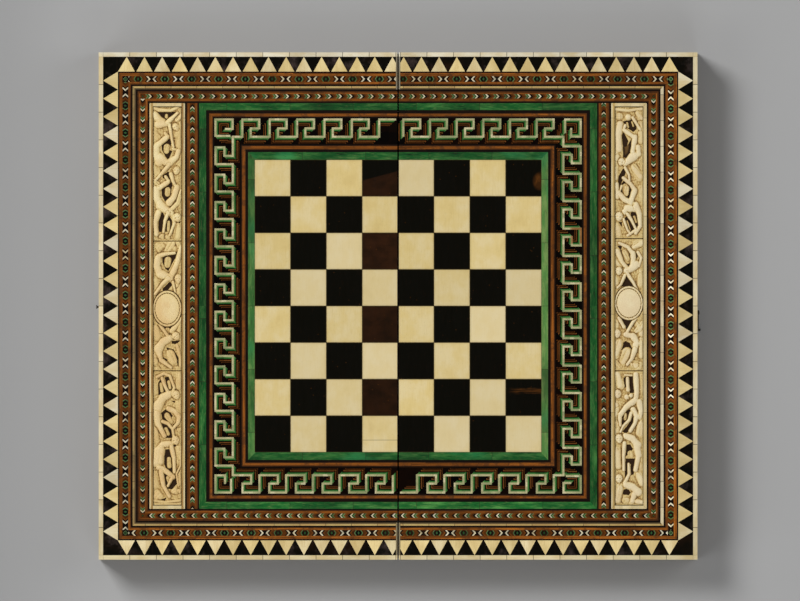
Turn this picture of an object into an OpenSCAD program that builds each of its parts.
// Folding box board for chess and tables, open flat with the chess face up.
// Origin: on the seam, in the middle of the board's depth, at the level of the surface it stands on.
// +X to the right across both trays, +Y to the back along the seam, +Z up out of the chess face.

/* [Board] */
// Width of the open board, across both trays
board_w = 720; // [640:1:800]
// Depth of the board, along the seam
board_d = 610; // [540:1:700]
// Height of a tray, from its rim to its playing face
tray_h = 55; // [50:0.5:80]
// Gap between the two trays at the seam
seam_gap = 1.8; // [1.2:0.1:3]
// Gap between the two rims when the board is folded shut
rim_gap = 0.3; // [0.2:0.05:1]

/* [Carcass] */
// Thickness of the front, back and outer walls
wall_t = 13; // [11:0.5:18]
// Thickness of the wall beside the seam
spine_t = 12; // [10:0.5:18]
// Thickness of the core panel
core_t = 9; // [7:0.5:14]
// Thickness of the inner lining and its points
lining_t = 1.5; // [1:0.1:3]
// Thickness of the inlay on the core panel
inlay_t = 2.5; // [1.5:0.1:4]
// Gap between neighbouring pieces of inlay
joint_gap = 0.2; // [0.1:0.05:0.4]
// Width of the bone strip let into the rim
rim_strip_w = 5.4; // [3:0.1:8]
// Height of the bone strip let into the rim
rim_strip_h = 2.5; // [1.5:0.1:4]

/* [Flanks] */
// Length of a bone plate on the flanks, before it is fitted to the run
side_plate_l = 33.3; // [20:0.1:60]
// Thickness of a bone plate on the flanks
side_plate_t = 1.6; // [1:0.1:3]
// Gap between two bone plates
side_plate_gap = 1.6; // [0.5:0.1:4]
// Height of the row of plates above the rim
side_plate_up = 20; // [18:0.5:24]
// Distance of the row of plates below the core panel
side_plate_down = 6.5; // [2:0.5:10]

/* [Outer border, from the edge inwards] */
// Width of the bone edge
edge_w = 5.4; // [3:0.1:9]
// Length of one strip of the bone edge, before it is fitted to the run
edge_strip_l = 33.3; // [20:0.1:60]
// Width of the bone fillet beside the seam
seam_fillet_w = 1.8; // [1:0.1:3]
// Width of the border of triangles
triangle_w = 17.7; // [12:0.1:22]
// Spacing of the triangles, before it is fitted to the long run
triangle_pitch = 21.3; // [15:0.05:30]
// Width of the horn between two triangles' feet along the long runs
triangle_tip = 1.7; // [1:0.1:3]
// Width of the black line inside the triangles
black_1_w = 1.7; // [1:0.1:3]
// Width of the brown strip outside the mosaic
brown_1_w = 3.6; // [2:0.1:5]
// Width of the outer mosaic
mosaic_w = 7.4; // [5:0.1:10]
// Length of one block of the outer mosaic, before it is fitted to the run
mosaic_block_l = 32.9; // [20:0.1:50]
// Width of the brown strip inside the mosaic
brown_2_w = 2.9; // [2:0.1:5]
// Width of the black line outside the bone stringing
black_2_w = 2.1; // [1:0.1:3]
// Width of the bone stringing
string_w = 3.7; // [2:0.1:5]
// Width of the black line inside the bone stringing
black_3_w = 2.5; // [1:0.1:3.5]
// Width of the brown strip outside the fine mosaic
brown_3_w = 3; // [2:0.1:5]
// Width of the fine mosaic
fine_mosaic_w = 5.8; // [4:0.1:8]
// Length of one block of the fine mosaic, before it is fitted to the run
fine_block_l = 37; // [20:0.1:50]
// Width of the brown strip inside the fine mosaic
brown_4_w = 3.4; // [2:0.1:5]
// Width of the black line that closes the outer border
black_4_w = 1.9; // [1:0.1:3]

/* [Carved panel] */
// Width of the carved panel with its frame
panel_w = 42.6; // [36:0.1:50]
// Width of the frame round the carved panel
panel_frame_w = 4; // [2.5:0.1:6]
// Length of the middle plaque
middle_plaque_l = 156; // [120:1:200]
// Gap between the plaques
plaque_gap = 0.4; // [0.2:0.1:1]
// Thickness of a plaque's ground
plaque_ground_t = 3; // [2:0.1:4]
// Height of the carving above its ground
carving_h = 2.9; // [1.5:0.1:4]
// Depth of the highest carving below the playing face
plaque_sink = 0.6; // [0.3:0.1:1.5]
// Width of the medallion on the middle plaque
medallion_w = 31; // [20:0.5:33]
// Length of the medallion on the middle plaque
medallion_l = 40; // [26:0.5:60]
// Width of the wreath round the medallion
wreath_w = 3; // [1.5:0.1:5]
// Width of the black line beside the carved panel
black_5_w = 2.4; // [1:0.1:3.5]
// Width of the brown strip between that line and the fine mosaic
brown_5_w = 3.7; // [2:0.1:5]
// Width of the brown strip inside that fine mosaic
brown_6_w = 3.6; // [2:0.1:5]
// Width of the black line outside the green fillet
black_6_w = 1.6; // [1:0.1:3]

/* [Middle border, from the green fillet inwards] */
// Width of the outer green fillet
green_1_w = 8.3; // [5:0.1:11]
// Width of the black line inside the outer green fillet
black_7_w = 3.8; // [2:0.1:5]
// Width of the brown strip outside the key band
brown_7_w = 4.2; // [2:0.1:6]
// Width of the black line outside the key band
black_8_w = 1.8; // [1:0.1:3]
// Width of the key band
key_w = 31.6; // [28:0.1:36]
// Width of the black line inside the key band
black_9_w = 1.5; // [1:0.1:3]
// Width of the brown strip inside the key band
brown_8_w = 4.7; // [2:0.1:6]
// Width of the black line outside the inner green fillet
black_10_w = 3; // [2:0.1:5]
// Width of the inner green fillet at the left and right of the field
green_2_side_w = 7.8; // [5:0.1:11]
// Width of the inner green fillet at the front and back of the field
green_2_end_w = 9.1; // [5:0.1:12]

/* [Key line] */
// Width of the bone line of the key
key_line_w = 2.3; // [1.5:0.1:3]
// Inset of the bone line from the edge of the key band
key_inset = 0.3; // [0.2:0.1:1]
// Spacing of the keys, before it is fitted to the run
key_pitch = 32.9; // [31:0.1:40]
// Length of a key's outer bar
key_bar_l = 20.3; // [18:0.1:22]
// Length of a key's middle bar
key_back_l = 10.3; // [8:0.1:12]
// Distance from a key's outer bar to its middle bar
key_drop = 10.7; // [9:0.1:12]
// Distance from a key's outer bar to its inner bar
key_rise = 20.8; // [18:0.1:23]
// Distance from the turn of the line at a corner to the next riser
key_corner_step = 11.7; // [8:0.1:15]
// Distance from the seam to the first riser of the back run
key_seam_step = 5.5; // [3:0.1:8]

/* [Inner playing face] */
// Distance from the walls to the bone line of the inner face
inner_margin = 12; // [6:0.5:20]
// Width of the bone line of the inner face
inner_line_w = 3; // [2:0.1:5]
// Length of a point on the inner face
point_l = 200; // [150:1:230]

/* [Hinges] */
// Distance of each hinge's middle from the board's middle
hinge_y = 190; // [120:1:230]
// Length of a hinge
hinge_l = 70; // [50:1:90]
// Diameter of a hinge's barrel
barrel_d = 3.6; // [3.2:0.1:5]
// Diameter of a hinge's pin
pin_d = 1.8; // [1.4:0.1:2.2]
// Radial clearance of the pin in the knuckles that turn
pin_clearance = 0.08; // [0.02:0.01:0.1]
// Gap between neighbouring knuckles
knuckle_gap = 0.3; // [0.2:0.05:0.6]
// Thickness of a hinge leaf
leaf_t = 1.2; // [1:0.1:2]
// Height of a hinge leaf above the pin
leaf_h = 22; // [18:0.5:28]
// Clearance round a leaf and a barrel in the wood
leaf_clearance = 0.25; // [0.1:0.05:0.4]
// Diameter of a leaf nail
nail_d = 1.8; // [1.2:0.1:2.4]
// Length of a leaf nail in the wood
nail_l = 8; // [5:0.5:9]
// Diameter of a leaf nail's head
nail_head_d = 3.6; // [2.8:0.1:4.4]
// Height of a leaf nail's head
nail_head_h = 0.35; // [0.2:0.05:0.4]

/* [Hook and catch] */
// Distance of the hook's stud from the middle of the flank, towards the front
pivot_y = 8; // [6:0.1:10]
// Distance of the catch stud from the middle of the flank, towards the front
catch_y = 1.2; // [0:0.1:4]
// Height of the hook's stud above the rim
pivot_up = 10.05; // [9.5:0.05:11]
// Distance from the hook's stud to its notch
hook_reach = 19.2; // [18.5:0.1:20]
// Angle of the resting hook below the level
hook_rest_deg = 26; // [22:0.5:26]
// Thickness of the hook
hook_t = 1.8; // [1.2:0.1:2]
// Width of the hook's shank
hook_shank_w = 3.4; // [2.6:0.1:4]
// Diameter of the hook's eye
hook_eye_d = 6.4; // [5.6:0.1:7]
// Diameter of the hook's head
hook_head_d = 6.8; // [6.4:0.1:7]
// Diameter of the bead at the hook's tip
hook_bead_d = 2.8; // [2:0.1:3]
// Height of the bead, from the back of the hook
hook_bead_h = 4; // [3:0.1:4.5]
// Distance from the notch to the bead
hook_bead_at = 4; // [3.9:0.1:4.4]
// Diameter of both studs
stud_d = 2.4; // [1.8:0.1:2.6]
// Diameter of both studs' heads
stud_head_d = 4.6; // [4:0.1:4.8]
// Height of the catch stud's head
stud_head_h = 1; // [0.6:0.1:1.5]
// Height of the head of the hook's stud
pivot_head_h = 0.5; // [0.4:0.1:1]
// Length of both studs in the wood
stud_l = 8; // [5:0.5:9]
// Gap at each flat side of the hook
hook_gap = 0.3; // [0.2:0.05:0.5]
// Radial clearance of the hook's eye on its stud
eye_clearance = 0.08; // [0.02:0.01:0.1]
// Clearance of the notch round the catch stud
notch_clearance = 0.4; // [0.3:0.05:0.5]

/* [Hidden] */
$fn = 48;

// The two trays, as the sign of their side of the seam
left = -1;
right = 1;
// The two ends of a tray, as the sign of their Y
front = -1;
back = 1;

// How far a cut runs past the piece it is made in
overcut = 1;
// How far a raised form reaches down into the ground it stands on
root = 0.5;
// Sides of an oval
oval_sides = 48;

// Levels
axis_z = barrel_d / 2;
rim_z = axis_z + rim_gap / 2;
top_z = rim_z + tray_h;
inlay_z = top_z - inlay_t;
core_z = inlay_z - core_t;
lining_z = core_z - lining_t;
plaque_z = top_z - plaque_sink - carving_h - plaque_ground_t;

// Half sizes of the tray's outline
half_w = board_w / 2;
half_d = board_d / 2;
seam_x = seam_gap / 2;

// Inset of each band of the outer border from the edge
triangle_at = edge_w;
black_1_at = triangle_at + triangle_w;
brown_1_at = black_1_at + black_1_w;
mosaic_at = brown_1_at + brown_1_w;
brown_2_at = mosaic_at + mosaic_w;
black_2_at = brown_2_at + brown_2_w;
string_at = black_2_at + black_2_w;
black_3_at = string_at + string_w;
brown_3_at = black_3_at + black_3_w;
fine_mosaic_at = brown_3_at + brown_3_w;
brown_4_at = fine_mosaic_at + fine_mosaic_w;
black_4_at = brown_4_at + brown_4_w;
border_w = black_4_at + black_4_w;

// The bands outside the bone stringing start at the fillet beside the seam
fillet_x = seam_x + seam_fillet_w;

// Where the rows of triangles run: their corner, and how many fit along each run
row_w = half_w - black_1_at;
row_d = half_d - black_1_at;
side_triangles = round(2 * row_d / triangle_pitch);
side_triangle_pitch = 2 * row_d / side_triangles;
run_triangles = ceil((row_w - fillet_x) / triangle_pitch) + 1;

// Outline inside the outer border, and the strips between it and the middle border
inner_w = half_w - border_w;
inner_d = half_d - border_w;
black_5_x = inner_w - panel_w;
brown_5_x = black_5_x - black_5_w;
side_mosaic_x = brown_5_x - brown_5_w;
brown_6_x = side_mosaic_x - fine_mosaic_w;
black_6_x = brown_6_x - brown_6_w;
middle_w = black_6_x - black_6_w;

// Inset of each band of the middle border from the outer edge of the green fillet
black_7_at = green_1_w;
brown_7_at = black_7_at + black_7_w;
black_8_at = brown_7_at + brown_7_w;
key_at = black_8_at + black_8_w;
black_9_at = key_at + key_w;
brown_8_at = black_9_at + black_9_w;
black_10_at = brown_8_at + brown_8_w;
green_2_at = black_10_at + black_10_w;

// Chess field
squares = 8;
field_half_w = middle_w - green_2_at - green_2_side_w;
field_half_d = inner_d - green_2_at - green_2_end_w;
square_w = 2 * field_half_w / squares;
square_d = 2 * field_half_d / squares;

// Carved panel
plaque_w = panel_w - 2 * panel_frame_w;
plaque_x = inner_w - panel_frame_w - plaque_w / 2;
plaque_half_l = inner_d - panel_frame_w;

// Key band, measured to the middle of its bone line: its outer corner and the turn inside it
key_half_w = middle_w - key_at - key_inset - key_line_w / 2;
key_half_d = inner_d - key_at - key_inset - key_line_w / 2;
turn_x = key_half_w - key_rise;
turn_y = key_half_d - key_rise;
// First riser, count and spacing of the keys on the back run, the flank and the front run
back_first = seam_x + key_seam_step;
back_keys = round((turn_x - back_first) / key_pitch);
back_pitch = (turn_x - back_first) / back_keys;
flank_first = turn_y - key_corner_step;
flank_keys = round((flank_first + turn_y) / key_pitch);
flank_pitch = (flank_first + turn_y) / flank_keys;
front_first = turn_x - key_corner_step;
front_keys = floor((front_first - seam_x - 2 * key_line_w) / key_pitch);
front_last = front_first - front_keys * key_pitch;
front_bar_l = min(key_bar_l, front_last - seam_x - key_line_w / 2);

// Inside of a tray
inner_x0 = seam_x + spine_t;
inner_x1 = half_w - wall_t;
inner_y = half_d - wall_t;
// Points of the inner face at each end of a tray
points = 6;
side_plate_h = core_z - side_plate_down - rim_z - side_plate_up;

// Hinge
knuckles = 5;
knuckle_l = (hinge_l - (knuckles - 1) * knuckle_gap) / knuckles;
knuckle_step = knuckle_l + knuckle_gap;
// Nails of a leaf: their place along the hinge and up the leaf, in shares of its length and height
nail_places = [[-0.386, 0.72], [-0.129, 0.5], [0.129, 0.72], [0.386, 0.5]];
// Radial gap round a nail, a stud or a fixed pin in its hole
nail_hole_gap = 0.03;
mortise_x = seam_x + leaf_t;

// Hook, with the catch stud placed so that the notch meets it when the board is shut
pivot_z = rim_z + pivot_up;
catch_across = pivot_y - catch_y;
catch_z = 2 * axis_z - pivot_z + sqrt(hook_reach * hook_reach - catch_across * catch_across);
stud_stand = hook_t + 2 * hook_gap;

// A tray is drawn as the right one, and the left one is the same turned half round
module tray(side) {
    rotate([0, 0, side > 0 ? 0 : 180]) children();
}

// The same at the back and, mirrored, at the front
module at_each_end() {
    children();
    mirror([0, 1, 0]) children();
}

// A flat piece of inlay, flush with the playing face
module inlay(side) {
    tray(side) translate([0, 0, inlay_z]) linear_extrude(inlay_t) children();
}

// Rectangle from its four sides
module panel(x0, x1, y0, y1) {
    translate([x0, y0]) square([x1 - x0, y1 - y0]);
}

// Band of width w inside the outline hw by hd, open at the seam, where it starts at x0
module band(hw, hd, w, x0 = seam_x) {
    polygon([
        [x0, hd], [hw, hd], [hw, -hd], [x0, -hd],
        [x0, w - hd], [hw - w, w - hd], [hw - w, hd - w], [x0, hd - w]]);
}

// Row of blocks that fills a rectangle along X or Y
module block_row(x0, x1, y0, y1, block_l, gap = joint_gap) {
    along_x = x1 - x0 > y1 - y0;
    run = along_x ? x1 - x0 : y1 - y0;
    count = max(1, round(run / block_l));
    step = run / count;
    for (i = [0 : count - 1]) {
        if (along_x) panel(x0 + i * step + gap / 2, x0 + (i + 1) * step - gap / 2, y0, y1);
        else panel(x0, x1, y0 + i * step + gap / 2, y0 + (i + 1) * step - gap / 2);
    }
}

// The same band as a row of blocks with a square at each corner
module block_band(hw, hd, w, x0, block_l) {
    at_each_end() {
        block_row(x0, hw - w, hd - w, hd, block_l);
        panel(hw - w + joint_gap / 2, hw, hd - w + joint_gap / 2, hd);
    }
    block_row(hw - w, hw, w - hd, hd - w, block_l);
}

// Direction to the left of v
function left_of(v) = [-v.y, v.x] / norm(v);
// Point beside point i of a path with square turns, at distance d to its left
function beside(path, i, d) =
    let (last = len(path) - 1)
    let (before = left_of(i > 0 ? path[i] - path[i - 1] : path[1] - path[0]))
    let (after = left_of(i < last ? path[i + 1] - path[i] : path[last] - path[last - 1]))
    path[i] + d * (before * after > 0.5 ? before : before + after);

// Line of width w along such a path
module line(path, w) {
    polygon(concat(
        [for (i = [0 : len(path) - 1]) beside(path, i, w / 2)],
        [for (i = [len(path) - 1 : -1 : 0]) beside(path, i, -w / 2)]));
}

// Carcass

// Outline of the rim strips: a closed frame round the mouth of the tray
module rim_frame() {
    difference() {
        panel(seam_x, half_w, -half_d, half_d);
        panel(seam_x + rim_strip_w, half_w - rim_strip_w, rim_strip_w - half_d, half_d - rim_strip_w);
    }
}

// Room for the rim strips
module rim_rebate() {
    translate([0, 0, rim_z - overcut]) linear_extrude(rim_strip_h + overcut) rim_frame();
}

// Room for the hinges' leaves and barrels
module hinge_mortises() {
    for (s = [-1, 1]) translate([0, s * hinge_y - hinge_l / 2 - leaf_clearance, 0]) {
        cube([mortise_x, hinge_l + 2 * leaf_clearance, axis_z + leaf_h + leaf_clearance]);
        translate([0, 0, axis_z]) rotate([-90, 0, 0])
            cylinder(d = barrel_d + 2 * leaf_clearance, h = hinge_l + 2 * leaf_clearance);
    }
}

module core_panel(side) {
    color("#6b4528") tray(side) difference() {
        translate([0, 0, core_z]) linear_extrude(core_t) panel(seam_x, half_w, -half_d, half_d);
        translate([0, 0, plaque_z]) linear_extrude(core_t)
            panel(plaque_x - plaque_w / 2, plaque_x + plaque_w / 2, -plaque_half_l, plaque_half_l);
    }
}

// Front or back wall, which runs the whole width of the tray. A turned tray swaps its ends.
module end_wall(side, end) {
    color("#5d3b22") tray(side) mirror([0, end * side > 0 ? 0 : 1, 0]) difference() {
        translate([0, 0, rim_z]) linear_extrude(core_z - rim_z) panel(seam_x, half_w, inner_y, half_d);
        rim_rebate();
        end_plate_set();
    }
}

// Outer wall, with the hole for its stud at height stud_z and at stud_at along the wall
module outer_wall(side, stud_at, stud_z) {
    color("#5d3b22") tray(side) difference() {
        translate([0, 0, rim_z]) linear_extrude(core_z - rim_z) panel(inner_x1, half_w, -inner_y, inner_y);
        rim_rebate();
        flank_plate_set();
        translate([half_w - stud_l, stud_at, stud_z]) rotate([0, 90, 0])
            cylinder(d = stud_d + 2 * nail_hole_gap, h = stud_l + overcut);
    }
}

module spine_wall(side) {
    color("#5d3b22") tray(side) difference() {
        translate([0, 0, rim_z]) linear_extrude(core_z - rim_z) panel(seam_x, inner_x0, -inner_y, inner_y);
        rim_rebate();
        hinge_mortises();
        leaf_nail_holes();
    }
}

// Rim strips with mitred corners
module rim_strips(side) {
    w = rim_strip_w;
    g = joint_gap / 2;
    x0 = seam_x;
    color("#d9cfae") tray(side) difference() {
        translate([0, 0, rim_z]) linear_extrude(rim_strip_h) {
            at_each_end() polygon([
                [x0 + g, half_d], [half_w - g, half_d],
                [half_w - w - g, half_d - w], [x0 + w + g, half_d - w]]);
            for (s = [-1, 1]) translate([(half_w + x0) / 2, 0]) mirror([s > 0 ? 0 : 1, 0])
                polygon([
                    [(half_w - x0) / 2, half_d - g], [(half_w - x0) / 2, g - half_d],
                    [(half_w - x0) / 2 - w, w + g - half_d], [(half_w - x0) / 2 - w, half_d - w - g]]);
        }
        hinge_mortises();
    }
}

// Both ends of each bone plate in a row from start to end
function plate_row(start, end) =
    let (count = max(1, round((end - start) / side_plate_l)))
    let (step = (end - start) / count, g = side_plate_gap / 2)
    [for (i = [0 : count - 1]) [start + i * step + g, start + (i + 1) * step - g]];

// Plates on the back wall
module end_plate_set() {
    for (p = plate_row(seam_x + side_plate_t, half_w - side_plate_t))
        translate([p[0], half_d - side_plate_t, rim_z + side_plate_up])
            cube([p[1] - p[0], side_plate_t, side_plate_h]);
}

// Plates on the outer wall
module flank_plate_set() {
    for (p = plate_row(-inner_y, inner_y))
        translate([half_w - side_plate_t, p[0], rim_z + side_plate_up])
            cube([side_plate_t, p[1] - p[0], side_plate_h]);
}

module side_plates(side) {
    color("#d5caa4") tray(side) {
        at_each_end() end_plate_set();
        flank_plate_set();
    }
}

// Inner playing face

module lining(side) {
    color("#4a2d1a") tray(side) translate([0, 0, lining_z]) linear_extrude(lining_t) difference() {
        panel(inner_x0, inner_x1, -inner_y, inner_y);
        inner_line_outline();
        all_points(0);
        all_points(1);
    }
}

module inner_line_outline() {
    m = inner_margin;
    difference() {
        panel(inner_x0 + m, inner_x1 - m, m - inner_y, inner_y - m);
        panel(inner_x0 + m + inner_line_w, inner_x1 - m - inner_line_w, m + inner_line_w - inner_y,
            inner_y - m - inner_line_w);
    }
}

// Points of one colour at both ends: even ones at one end, odd ones at the other
module all_points(odd) {
    x0 = inner_x0 + inner_margin + inner_line_w;
    x1 = inner_x1 - inner_margin - inner_line_w;
    base_y = inner_y - inner_margin - inner_line_w;
    pitch = (x1 - x0) / points;
    for (i = [0 : points - 1], s = [-1, 1])
        if ((i + odd + (s > 0 ? 0 : 1)) % 2 == 0)
            polygon([
                [x0 + i * pitch + joint_gap, s * base_y], [x0 + (i + 1) * pitch - joint_gap, s * base_y],
                [x0 + (i + 0.5) * pitch, s * (base_y - point_l)]]);
}

module inner_line(side) {
    color("#d9cfae") tray(side) translate([0, 0, lining_z]) linear_extrude(lining_t) inner_line_outline();
}

module light_points(side) {
    color("#d2c69c") tray(side) translate([0, 0, lining_z]) linear_extrude(lining_t) all_points(0);
}

module dark_points(side) {
    color("#2f6b45") tray(side) translate([0, 0, lining_z]) linear_extrude(lining_t) all_points(1);
}

// Outer border

module edge_strips(side) {
    color("#ddd2ae") inlay(side) {
        block_band(half_w, half_d, edge_w, fillet_x, edge_strip_l);
        at_each_end() panel(seam_x, fillet_x - joint_gap / 2, half_d - black_3_at, half_d);
    }
}

// Triangles of one row, drawn along +X from the origin with their bases on the X axis and a tip of horn between two
module bone_row(count, pitch, tip = 0) {
    g = joint_gap / 2;
    for (i = [0 : count - 1])
        polygon([
            [i * pitch + (i == 0 ? 0 : tip / 2) + g, 0], [(i + 1) * pitch - tip / 2 - g, 0],
            [(i + 0.5) * pitch, triangle_w]]);
}

// Triangles between those of a bone row, with their tips on the X axis, blunt where tip is more than 0
module horn_row(count, pitch, tip = 0) {
    g = joint_gap / 2;
    for (i = [1 : count - 1])
        polygon(concat(
            [[(i - 0.5) * pitch + g, triangle_w], [(i + 0.5) * pitch - g, triangle_w]],
            tip > 0 ? [[i * pitch + tip / 2 - g, 0], [i * pitch - tip / 2 + g, 0]] : [[i * pitch, joint_gap]]));
}

module bone_triangles(side) {
    color("#d8cba0") inlay(side) {
        at_each_end() intersection() {
            translate([row_w, row_d]) mirror([1, 0]) bone_row(run_triangles, triangle_pitch, triangle_tip);
            panel(fillet_x, row_w, row_d, half_d);
        }
        translate([row_w, row_d]) rotate(-90) bone_row(side_triangles, side_triangle_pitch);
    }
}

// Horn triangles, with a corner piece that takes half a triangle at each side
module horn_triangles(side) {
    g = joint_gap / 2;
    color("#1f1813") inlay(side) {
        at_each_end() {
            intersection() {
                translate([row_w, row_d]) mirror([1, 0]) horn_row(run_triangles, triangle_pitch, triangle_tip);
                panel(fillet_x, row_w, row_d, half_d);
            }
            polygon([
                [row_w, row_d + joint_gap], [row_w - triangle_pitch / 2 + g, row_d + triangle_w],
                [row_w + triangle_w, row_d + triangle_w],
                [row_w + triangle_w, row_d - side_triangle_pitch / 2 + g], [row_w + joint_gap, row_d]]);
        }
        translate([row_w, row_d]) rotate(-90) horn_row(side_triangles, side_triangle_pitch);
    }
}

module outer_mosaic(side) {
    color("#8d8a6a") inlay(side)
        block_band(half_w - mosaic_at, half_d - mosaic_at, mosaic_w, fillet_x, mosaic_block_l);
}

module bone_stringing(side) {
    color("#ddd2ae") inlay(side) band(half_w - string_at, half_d - string_at, string_w, fillet_x);
}

module fine_mosaic(side) {
    color("#6f8a5c") inlay(side) {
        block_band(half_w - fine_mosaic_at, half_d - fine_mosaic_at, fine_mosaic_w, seam_x, fine_block_l);
        block_row(brown_6_x, side_mosaic_x, -inner_d, inner_d, fine_block_l);
    }
}

module black_lines(side) {
    color("#15110e") inlay(side) {
        band(half_w - black_1_at, half_d - black_1_at, black_1_w, fillet_x);
        band(half_w - black_2_at, half_d - black_2_at, black_2_w, fillet_x);
        band(half_w - black_3_at, half_d - black_3_at, black_3_w);
        band(half_w - black_4_at, half_d - black_4_at, black_4_w);
        panel(brown_5_x, black_5_x, joint_gap - inner_d, inner_d - joint_gap);
        panel(middle_w, black_6_x, joint_gap - inner_d, inner_d - joint_gap);
        band(middle_w - black_7_at, inner_d - black_7_at, black_7_w);
        band(middle_w - black_8_at, inner_d - black_8_at, black_8_w);
        band(middle_w - black_9_at, inner_d - black_9_at, black_9_w);
        band(middle_w - black_10_at, inner_d - black_10_at, black_10_w);
    }
}

module brown_strips(side) {
    color("#8a4f22") inlay(side) {
        band(half_w - brown_1_at, half_d - brown_1_at, brown_1_w, fillet_x);
        band(half_w - brown_2_at, half_d - brown_2_at, brown_2_w, fillet_x);
        band(half_w - brown_3_at, half_d - brown_3_at, brown_3_w);
        band(half_w - brown_4_at, half_d - brown_4_at, brown_4_w);
        panel(side_mosaic_x, brown_5_x, -inner_d, inner_d);
        panel(black_6_x, brown_6_x, -inner_d, inner_d);
        band(middle_w - brown_7_at, inner_d - brown_7_at, brown_7_w);
        band(middle_w - brown_8_at, inner_d - brown_8_at, brown_8_w);
    }
}

module green_fillets(side) {
    x = field_half_w;
    y = field_half_d;
    color("#2c6a3f") inlay(side) {
        band(middle_w, inner_d, green_1_w);
        polygon([
            [seam_x, y + green_2_end_w], [x + green_2_side_w, y + green_2_end_w],
            [x + green_2_side_w, -y - green_2_end_w], [seam_x, -y - green_2_end_w],
            [seam_x, -y], [x, -y], [x, y], [seam_x, y]]);
    }
}

// Key band

// One key, walked clockwise round the board: out to the edge, along, back and in again.
// A point holds its distance along the run and its distance in from the outer bar.
function one_key(start) = [
    [start, key_rise], [start, 0], [start + key_bar_l, 0], [start + key_bar_l, key_drop],
    [start + key_bar_l - key_back_l, key_drop], [start + key_bar_l - key_back_l, key_rise]];

// The three runs of a tray: the back run goes along +X, the flank along -Y, the front run along -X
function on_back(p) = [p[0], key_half_d - p[1]];
function on_flank(p) = [key_half_w - p[1], -p[0]];
function on_front(p) = [-p[0], p[1] - key_half_d];

// The line from the seam along the back, down the flank and back to the seam along the front
key_path = concat(
    [for (k = [0 : back_keys - 1], p = one_key(back_first + k * back_pitch)) on_back(p)],
    [[turn_x, turn_y]],
    [for (k = [0 : flank_keys - 1], p = one_key(k * flank_pitch - flank_first)) on_flank(p)],
    [[turn_x, -turn_y]],
    [for (k = [0 : front_keys - 1], p = one_key(k * key_pitch - front_first)) on_front(p)],
    [for (p = [[-front_last, key_rise], [-front_last, 0], [front_bar_l - front_last, 0]]) on_front(p)]);

// Hooks that fill the corners outside the turns, in shares of the key's height from the outer corner
back_hook = [[-0.9, -0.8], [-0.9, 0], [0, 0], [0, -1], [-0.55, -1], [-0.55, -0.5]];
front_hook = [[-0.86, 0.95], [0, 0.95], [0, 0], [-1, 0], [-1, 0.55], [-0.55, 0.55]];

module key_outline() {
    line(key_path, key_line_w);
    line([for (p = back_hook) [key_half_w, key_half_d] + key_rise * p], key_line_w);
    line([for (p = front_hook) [key_half_w, -key_half_d] + key_rise * p], key_line_w);
}

module key_ground(side) {
    color("#1b1613") inlay(side) difference() {
        band(middle_w - key_at, inner_d - key_at, key_w);
        key_outline();
    }
}

module key_line(side) {
    color("#cfc9a2") inlay(side) key_outline();
}

// Chess field: squares of one colour on one tray
module field_squares(odd) {
    g = joint_gap / 2;
    for (i = [0 : squares / 2 - 1], j = [0 : squares - 1])
        if ((i + j) % 2 == odd)
            panel(
                max(i * square_w, seam_x) + g, (i + 1) * square_w - g,
                j * square_d - field_half_d + g, (j + 1) * square_d - field_half_d - g);
}

module bone_squares(side) {
    color("#d9c896") inlay(side) field_squares(1);
}

module horn_squares(side) {
    color("#241a15") inlay(side) field_squares(0);
}

// Carved panel

// Oval of width w and length l
module oval(w, l) {
    step = 360 / oval_sides;
    polygon([for (i = [0 : oval_sides - 1]) [w / 2 * cos(i * step), l / 2 * sin(i * step)]]);
}

// Plaque between y0 and y1, cut a little short at each joint
module plaque(y0, y1) {
    g = plaque_gap / 2;
    translate([0, 0, plaque_z]) linear_extrude(plaque_ground_t)
        panel(plaque_x - plaque_w / 2, plaque_x + plaque_w / 2, y0 + g, y1 - g);
}

module carved_plaques(side) {
    half_middle = middle_plaque_l / 2;
    color("#b9a277") tray(side) {
        plaque(-plaque_half_l, -half_middle);
        plaque(half_middle, plaque_half_l);
        plaque(-half_middle, half_middle);
        translate([plaque_x, 0, plaque_z + plaque_ground_t - root]) {
            linear_extrude(carving_h + root) difference() {
                oval(medallion_w, medallion_l);
                oval(medallion_w - 2 * wreath_w, medallion_l - 2 * wreath_w);
            }
            linear_extrude(carving_h / 2 + root) oval(medallion_w - wreath_w, medallion_l - wreath_w);
        }
    }
}

// Frame round the panel: four strips with mitred corners
module panel_frame(side) {
    w = panel_frame_w;
    g = joint_gap / 2;
    a = panel_w / 2;
    color("#d9cfae") inlay(side) translate([inner_w - a, 0]) {
        at_each_end() polygon([
            [g - a, inner_d], [a - g, inner_d], [a - w - g, inner_d - w], [w + g - a, inner_d - w]]);
        for (s = [-1, 1]) mirror([s > 0 ? 0 : 1, 0]) polygon([
            [a, inner_d - g], [a, g - inner_d], [a - w, w + g - inner_d], [a - w, inner_d - w - g]]);
    }
}

// Hinges

// Knuckle number i of the hinge whose middle is at the origin, along Y
module knuckle(i, bore_r) {
    translate([0, i * knuckle_step - hinge_l / 2, 0]) rotate([-90, 0, 0]) difference() {
        cylinder(d = barrel_d, h = knuckle_l);
        translate([0, 0, -overcut]) cylinder(r = bore_r, h = knuckle_l + 2 * overcut);
    }
}

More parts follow.
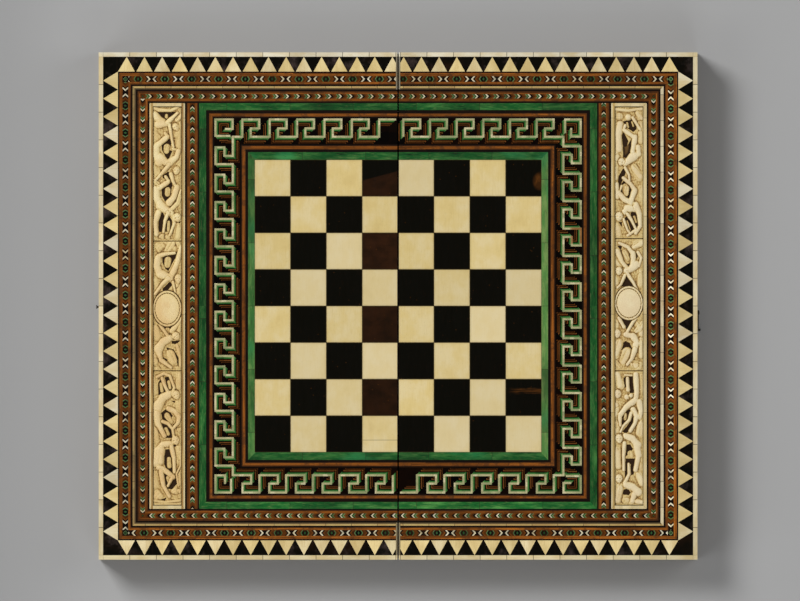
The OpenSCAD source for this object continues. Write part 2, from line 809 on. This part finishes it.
// Leaf with the knuckles first, first + 2 and so on. It clears the other leaf's knuckles.
module hinge_leaf(first, bore_r) {
    clear_z = barrel_d / 2 + leaf_clearance;
    difference() {
        translate([seam_x, -hinge_l / 2, 0]) cube([leaf_t, hinge_l, leaf_h]);
        translate([0, -hinge_l, 0]) rotate([-90, 0, 0])
            cylinder(r = pin_d / 2 + pin_clearance, h = 2 * hinge_l);
        for (i = [1 - first : 2 : knuckles - 1])
            translate([0, i * knuckle_step - hinge_l / 2 - knuckle_gap, -clear_z])
                cube([seam_x + leaf_t + overcut, knuckle_l + 2 * knuckle_gap, 2 * clear_z]);
        for (n = nail_places)
            translate([0, n[0] * hinge_l, n[1] * leaf_h]) rotate([0, 90, 0])
                cylinder(d = nail_d + 2 * nail_hole_gap, h = seam_x + leaf_t + overcut);
    }
    for (i = [first : 2 : knuckles - 1]) knuckle(i, bore_r);
}

module at_each_hinge() {
    for (s = [-1, 1]) translate([0, s * hinge_y, axis_z]) children();
}

module left_hinge_leaves() {
    color("#4d4a47") tray(left) at_each_hinge() hinge_leaf(0, pin_d / 2 + nail_hole_gap);
}

module right_hinge_leaves() {
    color("#4d4a47") tray(right) at_each_hinge() hinge_leaf(1, pin_d / 2 + pin_clearance);
}

module leaf_nail_holes() {
    at_each_hinge() for (n = nail_places)
        translate([seam_x, n[0] * hinge_l, n[1] * leaf_h]) rotate([0, 90, 0])
            cylinder(d = nail_d + 2 * nail_hole_gap, h = leaf_t + nail_l + leaf_clearance);
}

module leaf_nails(side) {
    color("#3b3836") tray(side) at_each_hinge() for (n = nail_places)
        translate([seam_x, n[0] * hinge_l, n[1] * leaf_h]) rotate([0, 90, 0]) {
            translate([0, 0, -nail_head_h]) cylinder(d = nail_head_d, h = nail_head_h);
            cylinder(d = nail_d, h = leaf_t + nail_l);
        }
}

module hinge_pins() {
    color("#5c5854") at_each_hinge() rotate([-90, 0, 0])
        translate([0, 0, -hinge_l / 2]) cylinder(d = pin_d, h = hinge_l);
}

// Hook and catch

// Stud that stands out of a flank along +Z, with its foot in the wood
module stud(head_h) {
    translate([0, 0, -stud_l]) cylinder(d = stud_d, h = stud_l + stud_stand);
    translate([0, 0, stud_stand]) cylinder(d = stud_head_d, h = head_h);
}

// The hook lies along +X from its eye, and its notch opens towards +Y
module hook_shape() {
    notch_r = stud_d / 2 + notch_clearance;
    cut_h = hook_t + 2 * overcut;
    difference() {
        union() {
            cylinder(d = hook_eye_d, h = hook_t);
            translate([hook_reach, 0, 0]) cylinder(d = hook_head_d, h = hook_t);
            translate([0, -hook_shank_w / 2, 0]) cube([hook_reach + hook_bead_at, hook_shank_w, hook_t]);
            translate([hook_reach + hook_bead_at, 0, 0]) cylinder(d = hook_shank_w, h = hook_t);
            translate([hook_reach + hook_bead_at, 0, 0]) cylinder(d = hook_bead_d, h = hook_bead_h);
        }
        translate([0, 0, -overcut]) {
            cylinder(d = stud_d + 2 * eye_clearance, h = cut_h);
            translate([hook_reach, 0, 0]) cylinder(r = notch_r, h = cut_h);
            translate([hook_reach - notch_r, 0, 0]) cube([2 * notch_r, hook_head_d, cut_h]);
        }
    }
}

module hook() {
    color("#2f2c2a") translate([half_w + hook_gap, -pivot_y, pivot_z])
        rotate([180 + hook_rest_deg, 0, 0]) rotate([90, 0, 90]) hook_shape();
}

module hook_stud() {
    color("#3b3836") translate([half_w, -pivot_y, pivot_z]) rotate([0, 90, 0]) stud(pivot_head_h);
}

module catch_stud() {
    color("#3b3836") translate([-half_w, -catch_y, catch_z]) rotate([0, -90, 0]) stud(stud_head_h);
}

core_panel(left);  // left_core_panel
end_wall(left, front);  // left_front_wall
end_wall(left, back);  // left_back_wall
outer_wall(left, catch_y, catch_z);  // left_outer_wall
spine_wall(left);  // left_spine_wall
rim_strips(left);  // left_rim_strips
side_plates(left);  // left_side_plates
lining(left);  // left_lining
inner_line(left);  // left_inner_line
light_points(left);  // left_light_points
dark_points(left);  // left_dark_points
edge_strips(left);  // left_edge_strips
bone_triangles(left);  // left_bone_triangles
horn_triangles(left);  // left_horn_triangles
outer_mosaic(left);  // left_outer_mosaic
bone_stringing(left);  // left_bone_stringing
fine_mosaic(left);  // left_fine_mosaic
black_lines(left);  // left_black_lines
brown_strips(left);  // left_brown_strips
green_fillets(left);  // left_green_fillets
key_ground(left);  // left_key_ground
key_line(left);  // left_key_line
bone_squares(left);  // left_bone_squares
horn_squares(left);  // left_horn_squares
carved_plaques(left);  // left_carved_plaques
panel_frame(left);  // left_panel_frame
left_hinge_leaves();
leaf_nails(left);  // left_leaf_nails
core_panel(right);  // right_core_panel
end_wall(right, front);  // right_front_wall
end_wall(right, back);  // right_back_wall
outer_wall(right, -pivot_y, pivot_z);  // right_outer_wall
spine_wall(right);  // right_spine_wall
rim_strips(right);  // right_rim_strips
side_plates(right);  // right_side_plates
lining(right);  // right_lining
inner_line(right);  // right_inner_line
light_points(right);  // right_light_points
dark_points(right);  // right_dark_points
edge_strips(right);  // right_edge_strips
bone_triangles(right);  // right_bone_triangles
horn_triangles(right);  // right_horn_triangles
outer_mosaic(right);  // right_outer_mosaic
bone_stringing(right);  // right_bone_stringing
fine_mosaic(right);  // right_fine_mosaic
black_lines(right);  // right_black_lines
brown_strips(right);  // right_brown_strips
green_fillets(right);  // right_green_fillets
key_ground(right);  // right_key_ground
key_line(right);  // right_key_line
bone_squares(right);  // right_bone_squares
horn_squares(right);  // right_horn_squares
carved_plaques(right);  // right_carved_plaques
panel_frame(right);  // right_panel_frame
right_hinge_leaves();
leaf_nails(right);  // right_leaf_nails
hinge_pins();
hook();
hook_stud();
catch_stud();
